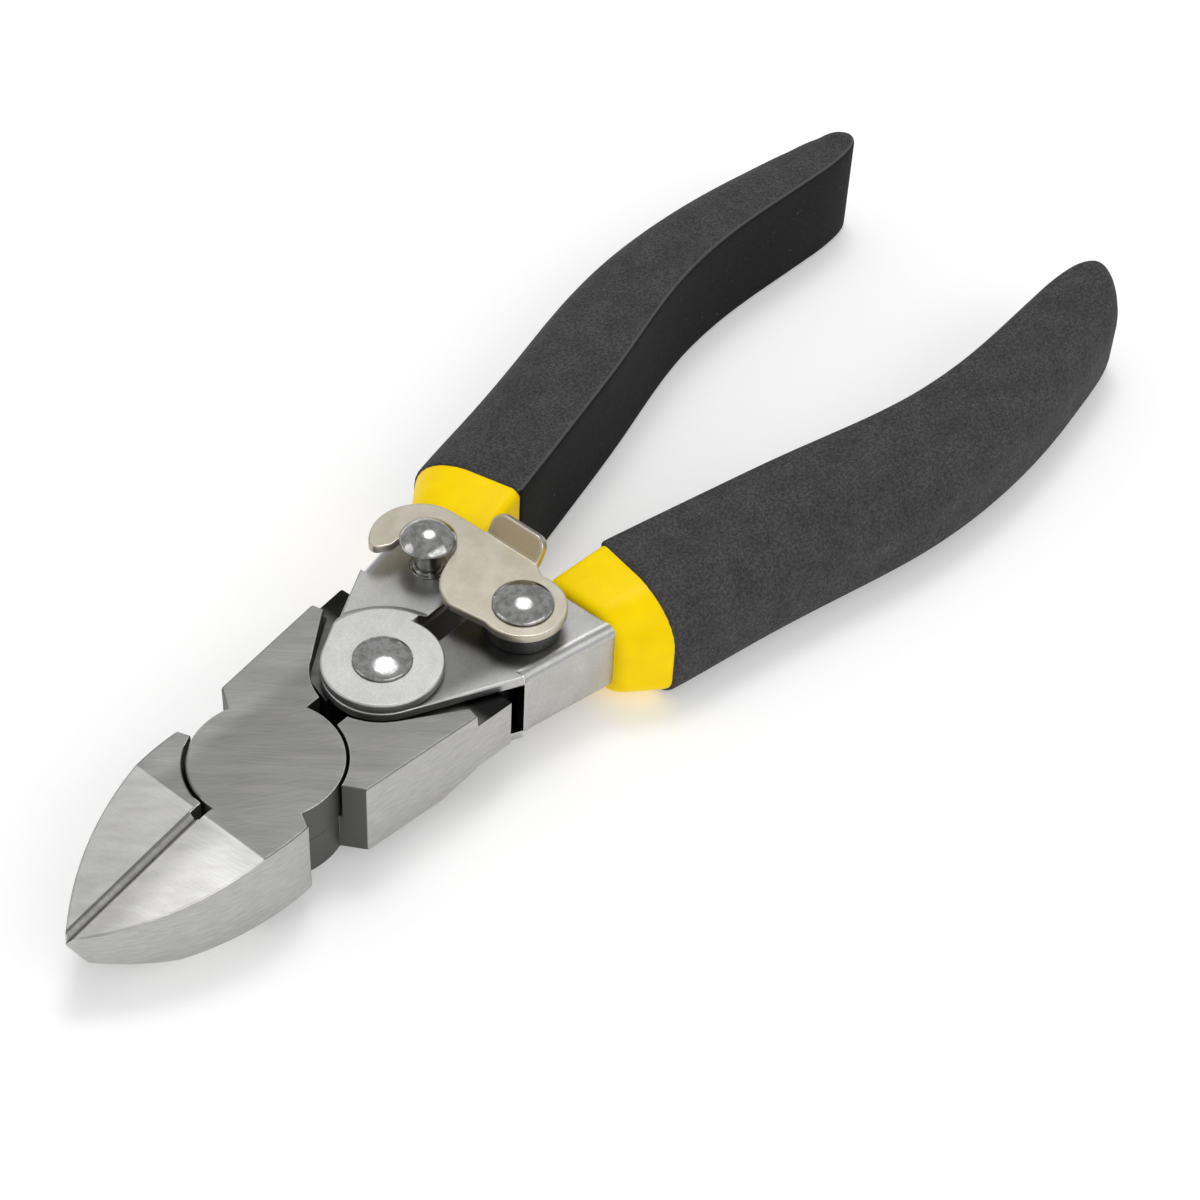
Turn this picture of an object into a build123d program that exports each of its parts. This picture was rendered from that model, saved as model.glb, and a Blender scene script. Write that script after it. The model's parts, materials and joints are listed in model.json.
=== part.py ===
"""Compound-action cutting pliers with a handle latch, closed and latched, as separate pieces.

Frame: +X runs from the blade tips to the grip ends, +Z is up, z = 0 is the bench.
"left" is the +Y side and "right" the -Y side. Every function works in millimetres.
The pieces are drawn about a point 95 mm behind the blade tips and moved by CENTRE_X as they are
written, so that the origin is under the middle of the tool.
"""
from build123d import *
import os
from math import asin, cos, degrees, hypot, radians, sin, sqrt, tan

os.makedirs("parts", exist_ok=True)

# Overall
TIP_X = -95.0
GRIP_END_X = 97.2
CENTRE_X = (TIP_X + GRIP_END_X) / 2
GRIP_HEIGHT = 17.6
MID_Z = GRIP_HEIGHT / 2          # the whole tool is stacked about this plane

# Pivots
JAW_PIVOT = (-60.5, 0.0)
HANDLE_PIVOT = (-38.9, 0.0)
LINK_PIVOT = (-20.8, 8.6)        # the left one; the right one has -Y
JAW_SHANK_R = 4.0
HANDLE_SHANK_R = 2.4
LINK_SHANK_R = 2.5
CATCH_NECK_R = 1.9
RUNNING_GAP = 0.03               # radial, for a bore that turns on its rivet
OPEN_PIVOT_GAP = 0.2             # radial, in the right handle's ears
FACE_GAP = 0.05                  # between faces that slide on each other

# Jaws
JAW_HALF = 6.0                   # half the jaw thickness
DISC_R = 10.25
DISC_CLEARANCE_R = 10.65
HEEL_IN = (-63.9, 9.7)
HEEL_OUT = (-64.7, 11.9)
BLADE_BELLY = (-82.0, 8.9)
NOTCH_X = -73.0
NOTCH_HALF = 0.8
EDGE_GAP = 0.03                  # each blade's edge from the mid line
BEVEL_START_X = -72.2
TIP_TOP = 1.5                    # above the mid plane
TIP_BOTTOM = 2.0                 # below the mid plane
NOSE_START_X = -84.0             # where the nose starts to rise from the underside
NOSE_MID = (-90.2, -4.2)         # x, and height over the mid plane
LAND_WIDTH = 0.65
EDGE_FLAT = 0.35
RELIEF_ANGLE = 22.0

# Tails and tongues
SLOT_HALF = 2.5
POCKET_R = 9.6
POCKET_END_ANGLE = 56.5
TAIL_REAR_IN = (-36.3, 13.2)
TAIL_REAR_OUT = (-36.75, 15.1)
TAIL_FRONT_OUT = (-55.6, 13.15)
TAIL_FRONT_IN = (-57.6, 9.6)
RAMP_START_X = -43.0
RAMP_END_X = -36.0
TONGUE_HALF = 4.1
TONGUE_INNER_Y = 2.6
TONGUE_BOSS_R = 5.8
TONGUE_ROOT = [(-44.0, 13.0), (-47.0, TONGUE_INNER_Y)]   # buried in the tail
TONGUE_END = [(-20.8, 2.9), (-18.8, 8.6), (-23.4, 13.2)]  # round the link pivot, inside the boss
TONGUE_STOP = [(-30.3, 11.0), (-30.6, 15.6)]             # the shoulder in front of the channel's web
SLEEVE_RELIEF_R = 3.9
SPRING_X = -31.5
SPRING_POCKET_R = 2.5
SPRING_POCKET_END_Y = 5.2
SPRING_R = 1.85                  # to the middle of the wire
SPRING_WIRE_R = 0.35
SPRING_TURNS = 7

# Handle channels
PLATE = 1.5
CHANNEL_HALF = 6.0
BEND_R = 1.8
WEB_FRONT_X = -27.5
CHANNEL_END_X = 78.0
EAR_R = 8.25
JOGGLE_TOP_R = 9.6
JOGGLE_FOOT_R = 11.2
JOGGLE_SHIFT = 0.6               # how far the joggle's underside runs inside its top
CHANNEL_OUTER = [(WEB_FRONT_X, 15.0), (-12.0, 18.2), (8.0, 23.0), (34.0, 29.8), (55.0, 31.7),
                 (CHANNEL_END_X, 30.2)]
CHANNEL_INNER = [(CHANNEL_END_X, 23.5), (55.0, 23.3), (34.0, 19.0), (8.0, 11.9), (-12.0, 7.0)]
LEVER_INNER = [(-17.5, 3.4), (-24.0, 2.0), (-33.0, 2.0)]
LEVER_OUTER = [(-42.2, 7.56), (-37.3, 10.1)]
SLEEVE_R = 3.3
LINK_WASHER_R = 5.2
LINK_WASHER_T = 0.3

# Rivet heads: radius, rim height, total height
HEAD_RIM = 0.4
HANDLE_HEAD = (4.05, 1.25)
LINK_HEAD = (4.2, 1.8)
CATCH_HEAD = (3.95, 2.3)
LOWER_HEAD = (4.2, 1.6)

# Latch
SPACER_R = 5.2
SPACER_T = 2.7
WASHER_R = 4.6
WASHER_T = 0.28
LATCH_BOTTOM = 9.03              # above the mid plane, clear of the grips
LATCH_T = 1.3
LATCH_PAD_R = 6.0
PAD_SIDE = 1.6                   # how far ahead of the pivot, in Y, the pad's round sides end
CATCH_HEAD_BOTTOM = 10.9
BILL_IN = (-24.3, 12.0)
BILL_TIP = (-26.9, 13.6)
BILL_ROUND = 1.2
CROWN = (-20.9, 17.0)
BACK_TOP = (-13.9, 10.0)
CHIN = (-27.4, -1.5)
CHIN_MID = (-26.0, 1.7)
THROAT_IN = (-23.2, 3.7)
THROAT_LOW = (-20.4, 4.9)
THROAT_R = 3.6
TAB_FOLD_X = -13.8
TAB_LOW_Y = -4.9
TAB_HIGH_Y = 4.2
TAB_ANGLE = 58.0
TAB_LENGTH = 3.5
TAB_CORNER_R = 1.9

# Grips
LINER_WALL = 1.0
COLLAR_FRONT_X = -12.6
COLLAR_IN = 5.7                  # the collar's front edge, from the tool's middle line
COLLAR_OUT = 19.4
SLEEVE_FRONT_X = -9.0            # where the liner's hidden part starts, inside the collar
LINER_END = [(84.0, 30.2), (84.0, 22.4)]
LINER_ROUND = 2.6
COVER_OUTER = [(-7.0, 24.4), (5.0, 26.8), (20.0, 30.1), (40.0, 34.7), (58.0, 36.0), (75.0, 34.7),
               (90.5, 31.6)]
COVER_INNER = [(92.0, 20.8), (80.0, 21.3), (65.0, 21.8), (50.0, 20.5), (30.0, 15.3), (12.0, 10.8),
               (-3.2, 7.2)]
COVER_FRONT_SLOPE = 0.24         # of the outer outline where the cover starts, and where its nose starts
COVER_END_SLOPE = -0.25
INNER_FRONT_SLOPE = 0.22
INNER_END_SLOPE = -0.05
COVER_NOSE = (GRIP_END_X, 26.0)
COVER_ROUND = 4.4
COLLAR_STEP = 0.35               # the liner's collar stands this far inside the cover
COLLAR_BACK_ROUNDS = (4.5, 5.0)  # at the collar's front and at its rear
COLLAR_INNER_ROUND = 1.4

LEFT = 1
RIGHT = -1
PAST = 1.0                       # how far a cutting tool runs past the metal


def on_side(points, side):
    """Points given for the left side, moved to the side asked for."""
    return [(x, side * y) for x, y in points]


def slab(face, low, high):
    """A flat face made into a solid between two heights over the mid plane."""
    return Pos(0, 0, MID_Z + low) * extrude(face, high - low)


def disc(centre, radius, low, high):
    return slab(Pos(*centre) * Circle(radius), low, high)


def polygon(points):
    return make_face(Polyline(*points, close=True))


def link_pivot(side):
    return (LINK_PIVOT[0], side * LINK_PIVOT[1])


# ---------------------------------------------------------------- jaws

def blade_plan(side):
    """The blade seen from above: straight cutting edge, notch at the root, curved back."""
    start = (TIP_X, EDGE_GAP)
    inner = [start, (NOTCH_X, EDGE_GAP), (NOTCH_X, NOTCH_HALF), (HEEL_IN[0], NOTCH_HALF), HEEL_IN, HEEL_OUT]
    back = [HEEL_OUT, BLADE_BELLY, start]
    return make_face(Polyline(*on_side(inner, side)) + ThreePointArc(*on_side(back, side)))


def blade_profile():
    """The blade seen from the side: a flat bevel down to the tip and a nose rounded from below."""
    top = MID_Z + JAW_HALF
    bottom = MID_Z - JAW_HALF
    root = HEEL_IN[0] + PAST
    nose_mid = (NOSE_MID[0], MID_Z + NOSE_MID[1])
    tip_low = (TIP_X - PAST, MID_Z - TIP_BOTTOM)
    upper = Polyline((NOSE_START_X, bottom), (root, bottom), (root, top), (BEVEL_START_X, top),
                     (TIP_X - PAST, MID_Z + TIP_TOP), tip_low)
    nose = ThreePointArc(tip_low, nose_mid, (NOSE_START_X, bottom))
    width = HEEL_OUT[1] + PAST
    return extrude(Plane.XZ * make_face(upper + nose), width, both=True)


def edge_grind(side):
    """What is ground off beside the cutting edge: a narrow land above, a long relief below."""
    fall = JAW_HALF - TIP_TOP
    run = BEVEL_START_X - TIP_X + PAST
    start_x = NOTCH_X + PAST / 2
    start_z = MID_Z + JAW_HALF - (BEVEL_START_X - start_x) * fall / run
    along = Plane(origin=(start_x, 0, start_z), x_dir=(0, 1, 0), z_dir=(-run, 0, -fall))
    if along.y_dir.Z < 0:
        along = Plane(origin=along.origin, x_dir=(0, -1, 0), z_dir=along.z_dir)
        side = -side
    land = [(LAND_WIDTH + PAST, PAST), (-PAST, -LAND_WIDTH - PAST), (-PAST, PAST)]
    edge = LAND_WIDTH + EDGE_FLAT
    depth = 2 * JAW_HALF + PAST
    spread = (depth - edge) * tan(radians(RELIEF_ANGLE))
    relief = [(-PAST, -edge), (EDGE_GAP, -edge), (EDGE_GAP + spread, -depth), (-PAST, -depth)]
    length = hypot(run, fall) + 2 * PAST
    return [extrude(along * polygon(on_plane(shape, side)), length) for shape in (land, relief)]


def on_plane(points, side):
    return [(side * u, v) for u, v in points]


def tail_plan(side):
    """The thick tail behind the disc, with a round pocket in front of the handle pivot."""
    px, py = HANDLE_PIVOT
    pocket_start = (px - sqrt(POCKET_R ** 2 - SLOT_HALF ** 2), SLOT_HALF)
    start_angle = degrees(asin(SLOT_HALF / POCKET_R))
    mid_angle = radians((start_angle + POCKET_END_ANGLE) / 2)
    end_angle = radians(POCKET_END_ANGLE)
    pocket_mid = (px - POCKET_R * cos(mid_angle), POCKET_R * sin(mid_angle))
    pocket_end = (px - POCKET_R * cos(end_angle), POCKET_R * sin(end_angle))
    inside_disc = (JAW_PIVOT[0] + DISC_R / 2, SLOT_HALF)
    rest = [pocket_end, TAIL_REAR_IN, TAIL_REAR_OUT, TAIL_FRONT_OUT, TAIL_FRONT_IN, inside_disc, pocket_start]
    pocket = [pocket_start, pocket_mid, pocket_end]
    return make_face(ThreePointArc(*on_side(pocket, side)) + Polyline(*on_side(rest, side)))


def tongue_plan(side):
    """The thinner tongue that runs inside the handle channel to the link pivot."""
    points = TONGUE_ROOT + TONGUE_END + TONGUE_STOP + [TAIL_REAR_OUT]
    boss = Pos(*link_pivot(side)) * Circle(TONGUE_BOSS_R)
    relief = Pos(*HANDLE_PIVOT) * Circle(SLEEVE_RELIEF_R)
    return polygon(on_side(points, side)) + boss - relief


def tail_ramp():
    """The wedge taken off the underside of the tail, down to the tongue."""
    low = MID_Z - JAW_HALF
    points = [(RAMP_START_X, low), (RAMP_END_X, MID_Z - TONGUE_HALF), (RAMP_END_X + PAST, low - PAST),
              (RAMP_START_X, low - PAST)]
    return extrude(Plane.XZ * polygon(points), TAIL_REAR_OUT[1] + PAST, both=True)


def spring_pocket(side):
    start = Plane(origin=(SPRING_X, 0, MID_Z), z_dir=(0, side, 0))
    return extrude(start * Circle(SPRING_POCKET_R), SPRING_POCKET_END_Y)


def jaw(blade_side, disc_above, bore_r):
    """One forged jaw: blade on one side, half of the lap joint, tail and tongue on the other side."""
    tail_side = -blade_side
    blade = slab(blade_plan(blade_side), -JAW_HALF, JAW_HALF) & blade_profile()
    for tool in edge_grind(blade_side):
        blade -= tool
    body = blade + slab(tail_plan(tail_side), -JAW_HALF, JAW_HALF) - tail_ramp()
    body += slab(tongue_plan(tail_side), -TONGUE_HALF, TONGUE_HALF)
    lap = FACE_GAP / 2
    if disc_above:
        body -= disc(JAW_PIVOT, DISC_CLEARANCE_R, -JAW_HALF - PAST, lap)
        body += disc(JAW_PIVOT, DISC_R, lap, JAW_HALF)
    else:
        body -= disc(JAW_PIVOT, DISC_CLEARANCE_R, -lap, JAW_HALF + PAST)
        body += disc(JAW_PIVOT, DISC_R, -JAW_HALF, -lap)
    body -= disc(JAW_PIVOT, bore_r, -JAW_HALF - PAST, JAW_HALF + PAST)
    body -= disc(link_pivot(tail_side), LINK_SHANK_R + RUNNING_GAP, -JAW_HALF, JAW_HALF)
    return body - spring_pocket(tail_side)


# ---------------------------------------------------------------- rivets, sleeve and spring

def head(centre, size, base, up=1):
    """A domed rivet head standing on the height base, or hanging from it when up is -1."""
    radius, height = size
    dome = height - HEAD_RIM
    ball = (radius ** 2 + dome ** 2) / (2 * dome)
    half = (radius / 2, height - ball + sqrt(ball ** 2 - radius ** 2 / 4))
    outline = Polyline((0, height), (0, 0), (radius, 0), (radius, HEAD_RIM))
    arc = ThreePointArc((radius, HEAD_RIM), half, (0, height))
    shape = revolve(Plane.XZ * make_face(outline + arc), Axis.Z)
    if up < 0:
        shape = mirror(shape, about=Plane.XY)
    return Pos(*centre, MID_Z + base) * shape


def handle_rivet():
    stack = CHANNEL_HALF + FACE_GAP + PLATE
    shank = disc(HANDLE_PIVOT, HANDLE_SHANK_R, -stack, stack)
    return shank + head(HANDLE_PIVOT, HANDLE_HEAD, stack) + head(HANDLE_PIVOT, HANDLE_HEAD, -stack, up=-1)


def left_link_rivet():
    """The shouldered rivet whose tall neck is the latch's catch."""
    centre = link_pivot(LEFT)
    shank = disc(centre, LINK_SHANK_R, -CHANNEL_HALF, CHANNEL_HALF)
    neck = disc(centre, CATCH_NECK_R, CHANNEL_HALF, CATCH_HEAD_BOTTOM)
    catch = head(centre, CATCH_HEAD, CATCH_HEAD_BOTTOM)
    return shank + neck + catch + head(centre, LOWER_HEAD, -CHANNEL_HALF, up=-1)


def right_link_rivet():
    """The rivet that the latch turns on."""
    centre = link_pivot(RIGHT)
    top = LATCH_BOTTOM + LATCH_T + FACE_GAP
    shank = disc(centre, LINK_SHANK_R, -CHANNEL_HALF, top)
    return shank + head(centre, LINK_HEAD, top) + head(centre, LOWER_HEAD, -CHANNEL_HALF, up=-1)


def ring(centre, outer_r, inner_r, low, high):
    return slab(Pos(*centre) * (Circle(outer_r) - Circle(inner_r)), low, high)


def link_washers(side):
    """Two thrust washers, one each side of the tongue."""
    low = TONGUE_HALF + FACE_GAP
    upper = ring(link_pivot(side), LINK_WASHER_R, LINK_SHANK_R, low, low + LINK_WASHER_T)
    lower = ring(link_pivot(side), LINK_WASHER_R, LINK_SHANK_R, -low - LINK_WASHER_T, -low)
    return Compound([upper, lower])


def opening_spring():
    """The compression coil between the two tongues, seated in their pockets."""
    reach = SPRING_POCKET_END_Y - SPRING_WIRE_R - FACE_GAP
    length = 2 * reach
    path = Helix(pitch=length / SPRING_TURNS, height=length, radius=SPRING_R)
    start = path @ 0
    coil = sweep(Plane(origin=start, z_dir=path % 0) * Circle(SPRING_WIRE_R), path=path, is_frenet=True)
    return Pos(SPRING_X, -reach, MID_Z) * Rot(-90, 0, 0) * coil


# ---------------------------------------------------------------- handles

def channel_outline(side):
    """The channel from the web's front end to its tail, seen from above."""
    outer = Spline(*on_side(CHANNEL_OUTER, side))
    inner = Spline(*on_side(CHANNEL_INNER, side))
    inner_front = (WEB_FRONT_X, LEVER_INNER[1][1])
    front = [CHANNEL_INNER[-1], LEVER_INNER[0], LEVER_INNER[1], inner_front, CHANNEL_OUTER[0]]
    end = Line(*on_side([CHANNEL_OUTER[-1], CHANNEL_INNER[0]], side))
    return make_face(outer + end + inner + Polyline(*on_side(front, side)))


def channel_envelope(side):
    """The outside of the bent channel, solid, with its two long bends."""
    solid = slab(channel_outline(side), -CHANNEL_HALF, CHANNEL_HALF)
    middle_y = (CHANNEL_OUTER[3][1] + CHANNEL_INNER[2][1]) / 2
    long_edges = [edge for edge in solid.edges().filter_by(GeomType.BSPLINE)
                  if abs((edge @ 0).Z - (edge @ 1).Z) < FACE_GAP]
    return fillet([edge for edge in long_edges if side * (edge @ 0.5).Y > middle_y], BEND_R)


def lever_plan(side):
    """The flat front part of a handle plate, from the web to the handle pivot."""
    points = LEVER_OUTER + [CHANNEL_OUTER[0], (WEB_FRONT_X, LEVER_INNER[1][1]), LEVER_INNER[2], HANDLE_PIVOT]
    return polygon(on_side(points, side))


def raised_ears(side):
    """The left handle's ears, joggled outward by one plate to lie over the right one's."""
    low = CHANNEL_HALF + FACE_GAP
    high = low + PLATE
    foot_in = JOGGLE_FOOT_R - JOGGLE_SHIFT
    top_in = JOGGLE_TOP_R - JOGGLE_SHIFT
    under = CHANNEL_HALF - PLATE
    outside = [(0, high), (JOGGLE_TOP_R, high), (JOGGLE_FOOT_R, CHANNEL_HALF), (JOGGLE_FOOT_R, under)]
    section = outside + [(foot_in, under), (top_in, low), (0, low)]
    dish = Pos(*HANDLE_PIVOT, MID_Z) * revolve(Plane.XZ * polygon(section), Axis.Z)
    plan = lever_plan(side) + Pos(*HANDLE_PIVOT) * Circle(EAR_R)
    upper = dish & slab(plan, 0, high + PAST)
    return [upper, mirror(upper, about=Plane.XY.offset(MID_Z))]


def handle_channel(side):
    """A stamped U channel: two plates and an outer web, narrowing to its ears at the handle pivot."""
    inside = CHANNEL_HALF - PLATE
    hollow = Pos(0, -side * PLATE, 0) * slab(channel_outline(side), -inside, inside)
    body = channel_envelope(side) - hollow
    flat = lever_plan(side)
    bore_r = HANDLE_SHANK_R
    if side == RIGHT:
        flat += Pos(*HANDLE_PIVOT) * Circle(EAR_R)
        bore_r += OPEN_PIVOT_GAP
    else:
        flat -= Pos(*HANDLE_PIVOT) * Circle(JOGGLE_FOOT_R - JOGGLE_SHIFT)
        for ear in raised_ears(side):
            body += ear
    body += slab(flat, CHANNEL_HALF - PLATE, CHANNEL_HALF)
    body += slab(flat, -CHANNEL_HALF, PLATE - CHANNEL_HALF)
    reach = CHANNEL_HALF + 2 * PLATE + PAST
    body -= disc(HANDLE_PIVOT, bore_r, -reach, reach)
    return body - disc(link_pivot(side), LINK_SHANK_R, -reach, reach)


# ---------------------------------------------------------------- latch

def latch_plan():
    """A flat hook: a round pad on the right link rivet, a throat round the catch, a bill in front of it."""
    qx, qy = LINK_PIVOT
    pad_side = sqrt(LATCH_PAD_R ** 2 - PAD_SIDE ** 2)
    pad_rear = (qx + pad_side, PAD_SIDE - qy)
    pad_front = (qx - pad_side, PAD_SIDE - qy)
    throat_top = (qx, BILL_IN[1])
    edges = Line(BILL_IN, BILL_TIP) + ThreePointArc(BILL_TIP, CROWN, BACK_TOP)
    edges += Polyline(BACK_TOP, (TAB_FOLD_X, TAB_HIGH_Y), (TAB_FOLD_X, TAB_LOW_Y), pad_rear)
    edges += ThreePointArc(pad_rear, (qx, -qy - LATCH_PAD_R), pad_front)
    edges += Line(pad_front, CHIN)
    edges += ThreePointArc(CHIN, CHIN_MID, THROAT_IN)
    edges += Line(THROAT_IN, THROAT_LOW)
    edges += ThreePointArc(THROAT_LOW, (qx + THROAT_R, qy), throat_top)
    edges += Line(throat_top, BILL_IN)
    plan = make_face(edges)
    tip = plan.vertices().sort_by_distance((*BILL_TIP, 0))[0]
    return fillet([tip], BILL_ROUND)


def thumb_tab():
    """The tab bent up along the latch's rear edge, its upper corners rounded."""
    low = MID_Z + LATCH_BOTTOM
    high = low + LATCH_T
    run = (cos(radians(TAB_ANGLE)), sin(radians(TAB_ANGLE)))
    back = (sin(radians(TAB_ANGLE)) * LATCH_T, -cos(radians(TAB_ANGLE)) * LATCH_T)
    inner = (TAB_FOLD_X, high)
    inner_end = (inner[0] + run[0] * TAB_LENGTH, inner[1] + run[1] * TAB_LENGTH)
    outer_end = (inner_end[0] + back[0], inner_end[1] + back[1])
    heel_x = inner[0] + back[0] - (LATCH_T + back[1]) * run[0] / run[1]
    root_x = TAB_FOLD_X - LATCH_T
    profile = [(root_x, low), (heel_x, low), outer_end, inner_end, inner, (root_x, high)]
    tab = Pos(0, TAB_HIGH_Y, 0) * extrude(Plane.XZ * polygon(profile), TAB_HIGH_Y - TAB_LOW_Y)
    level = [edge for edge in tab.edges() if abs((edge @ 0).Y - (edge @ 1).Y) < FACE_GAP]
    upper = [edge for edge in level if (edge @ 0.5).Z > high + TAB_LENGTH / 2]
    corners = [edge for edge in upper if (edge @ 0.5).X > inner_end[0]]
    tab = fillet(corners, TAB_CORNER_R)
    bends = [edge for edge in tab.edges() if abs((edge @ 0).Y - (edge @ 1).Y) > TAB_HIGH_Y]
    outer_bend = [edge for edge in bends if abs((edge @ 0.5).X - heel_x) < FACE_GAP]
    return fillet(outer_bend, LATCH_T)


def latch():
    plate = slab(latch_plan(), LATCH_BOTTOM, LATCH_BOTTOM + LATCH_T)
    bore_r = LINK_SHANK_R + RUNNING_GAP
    bore = disc(link_pivot(RIGHT), bore_r, LATCH_BOTTOM - PAST, LATCH_BOTTOM + LATCH_T + PAST)
    return plate + thumb_tab() - bore


# ---------------------------------------------------------------- grips

def long_edges(solid):
    """The edges that run along the top and the bottom, without those of the front end."""
    box = solid.bounding_box()
    level = [edge for edge in solid.edges() if abs((edge @ 0.3).Z - (edge @ 0.7).Z) < FACE_GAP]
    top = [edge for edge in level if box.max.Z - (edge @ 0.5).Z < FACE_GAP]
    bottom = [edge for edge in level if (edge @ 0.5).Z - box.min.Z < FACE_GAP]
    return [edge for edge in top + bottom if (edge @ 0.5).X > box.min.X + 2 * COVER_ROUND]


def cover_outside():
    """The outside of the left grip: it swells, bends outward and ends in a round."""
    outer = Spline(*COVER_OUTER, tangents=[(1, COVER_FRONT_SLOPE), (1, COVER_END_SLOPE)])
    inner = Spline(*COVER_INNER, tangents=[(-1, -INNER_END_SLOPE), (-1, -INNER_FRONT_SLOPE)])
    nose = ThreePointArc(COVER_OUTER[-1], COVER_NOSE, COVER_INNER[0])
    front = Line(COVER_INNER[-1], COVER_OUTER[0])
    solid = slab(make_face(outer + nose + inner + front), -MID_Z, MID_Z)
    return fillet(long_edges(solid), COVER_ROUND)


def liner_outside():
    """The outside of the dipped liner where the cover hides it."""
    outer = [(x, y + LINER_WALL) for x, y in CHANNEL_OUTER[1:-1]] + LINER_END[:1]
    inner = LINER_END[1:] + [(x, y - LINER_WALL) for x, y in CHANNEL_INNER[1:]]
    face = make_face(Spline(*outer) + Line(outer[-1], inner[0]) + Spline(*inner) + Line(inner[-1], outer[0]))
    half = CHANNEL_HALF + LINER_WALL
    solid = slab(face, -half, half)
    body = fillet(long_edges(solid), LINER_ROUND)
    return split(body, bisect_by=Plane.YZ.offset(SLEEVE_FRONT_X))


def collar_section(plane, width, height, back_round):
    """A rectangle across the grip: its +X corners, at the grip's back, are rounder than the others."""
    shape = Rectangle(width, height)
    shape = fillet([vertex for vertex in shape.vertices() if vertex.X > 0], back_round)
    square = [vertex for vertex in shape.vertices() if vertex.X < 0 and abs(vertex.X) > width / 2 - FACE_GAP]
    return plane * fillet(square, COLLAR_INNER_ROUND)


def collar():
    """The yellow collar in front of the cover: a flared sleeve from the channel out to the cover."""
    inner, outer = COVER_INNER[-1], COVER_OUTER[0]
    across = (outer[0] - inner[0], outer[1] - inner[1])
    middle = ((inner[0] + outer[0]) / 2, (inner[1] + outer[1]) / 2)
    rear = Plane(origin=(*middle, MID_Z), x_dir=(*across, 0), z_dir=(across[1], -across[0], 0))
    step = 2 * COLLAR_STEP
    rear_face = collar_section(rear, hypot(*across) - step, GRIP_HEIGHT - step, COLLAR_BACK_ROUNDS[1])
    front_y = (COLLAR_IN + COLLAR_OUT) / 2
    front = Plane(origin=(COLLAR_FRONT_X, front_y, MID_Z), x_dir=(0, 1, 0), z_dir=(1, 0, 0))
    front_height = 2 * (CHANNEL_HALF + LINER_WALL)
    front_face = collar_section(front, COLLAR_OUT - COLLAR_IN, front_height, COLLAR_BACK_ROUNDS[0])
    return loft([front_face, rear_face], ruled=True)


def left_grip():
    """The left grip's liner and cover, made round the left channel."""
    outside = cover_outside()
    sleeve = liner_outside()
    liner = (sleeve + collar()) - channel_envelope(LEFT)
    return liner, outside - sleeve - channel_envelope(LEFT)


def write(name, shape):
    """Writes one piece, moved so that the origin is under the middle of the tool."""
    export_step(Pos(-CENTRE_X, 0, 0) * shape, f"parts/{name}.step")


def main():
    write("right_jaw", jaw(RIGHT, True, JAW_SHANK_R))
    write("left_jaw", jaw(LEFT, False, JAW_SHANK_R + RUNNING_GAP))
    write("jaw_rivet", disc(JAW_PIVOT, JAW_SHANK_R, -JAW_HALF, JAW_HALF))
    write("opening_spring", opening_spring())
    write("handle_rivet", handle_rivet())
    sleeve_half = CHANNEL_HALF - PLATE - FACE_GAP
    write("handle_pivot_sleeve", ring(HANDLE_PIVOT, SLEEVE_R, HANDLE_SHANK_R, -sleeve_half, sleeve_half))
    write("left_link_rivet", left_link_rivet())
    write("right_link_rivet", right_link_rivet())
    liner, cover = left_grip()
    for name, side in (("left", LEFT), ("right", RIGHT)):
        write(f"{name}_handle_channel", handle_channel(side))
        write(f"{name}_link_washers", link_washers(side))
        write(f"{name}_grip_liner", liner if side == LEFT else mirror(liner, about=Plane.XZ))
        write(f"{name}_grip_cover", cover if side == LEFT else mirror(cover, about=Plane.XZ))
    write("latch", latch())
    spacer_top = CHANNEL_HALF + SPACER_T
    write("latch_spacer", ring(link_pivot(RIGHT), SPACER_R, LINK_SHANK_R, CHANNEL_HALF, spacer_top))
    washer = ring(link_pivot(RIGHT), WASHER_R, LINK_SHANK_R, spacer_top, spacer_top + WASHER_T)
    write("latch_friction_washer", washer)


main()
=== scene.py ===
"""Looks of the compound-action cutters: finished metal, dipped collars, soft grips, and a studio."""

import json
import math

import bmesh
import bpy
import numpy as np
from mathutils import Matrix, Vector

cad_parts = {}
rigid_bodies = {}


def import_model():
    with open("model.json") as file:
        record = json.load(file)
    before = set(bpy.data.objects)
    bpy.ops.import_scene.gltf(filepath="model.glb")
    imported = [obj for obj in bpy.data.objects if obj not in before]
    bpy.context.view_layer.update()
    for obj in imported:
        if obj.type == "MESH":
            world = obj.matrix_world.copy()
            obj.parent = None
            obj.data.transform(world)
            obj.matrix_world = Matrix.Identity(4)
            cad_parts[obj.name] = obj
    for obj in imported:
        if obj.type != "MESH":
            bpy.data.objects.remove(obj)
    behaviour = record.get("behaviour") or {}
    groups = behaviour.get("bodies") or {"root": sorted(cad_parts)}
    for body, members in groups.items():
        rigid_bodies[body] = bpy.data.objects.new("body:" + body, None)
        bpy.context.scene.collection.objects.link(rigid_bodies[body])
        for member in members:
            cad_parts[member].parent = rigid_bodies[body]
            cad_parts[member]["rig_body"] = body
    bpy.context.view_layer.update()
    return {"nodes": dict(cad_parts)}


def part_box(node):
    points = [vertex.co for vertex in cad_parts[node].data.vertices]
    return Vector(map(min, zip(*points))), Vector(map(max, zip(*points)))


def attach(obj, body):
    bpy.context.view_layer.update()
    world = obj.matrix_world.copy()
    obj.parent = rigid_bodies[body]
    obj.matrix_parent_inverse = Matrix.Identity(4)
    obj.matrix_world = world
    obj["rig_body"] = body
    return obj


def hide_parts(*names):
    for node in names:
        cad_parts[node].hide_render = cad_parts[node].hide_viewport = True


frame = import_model()
nodes = frame["nodes"]
scene = bpy.context.scene
MM = 0.001
MID_Z = 8.8 * MM  # the plane that the whole tool is stacked about
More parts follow.
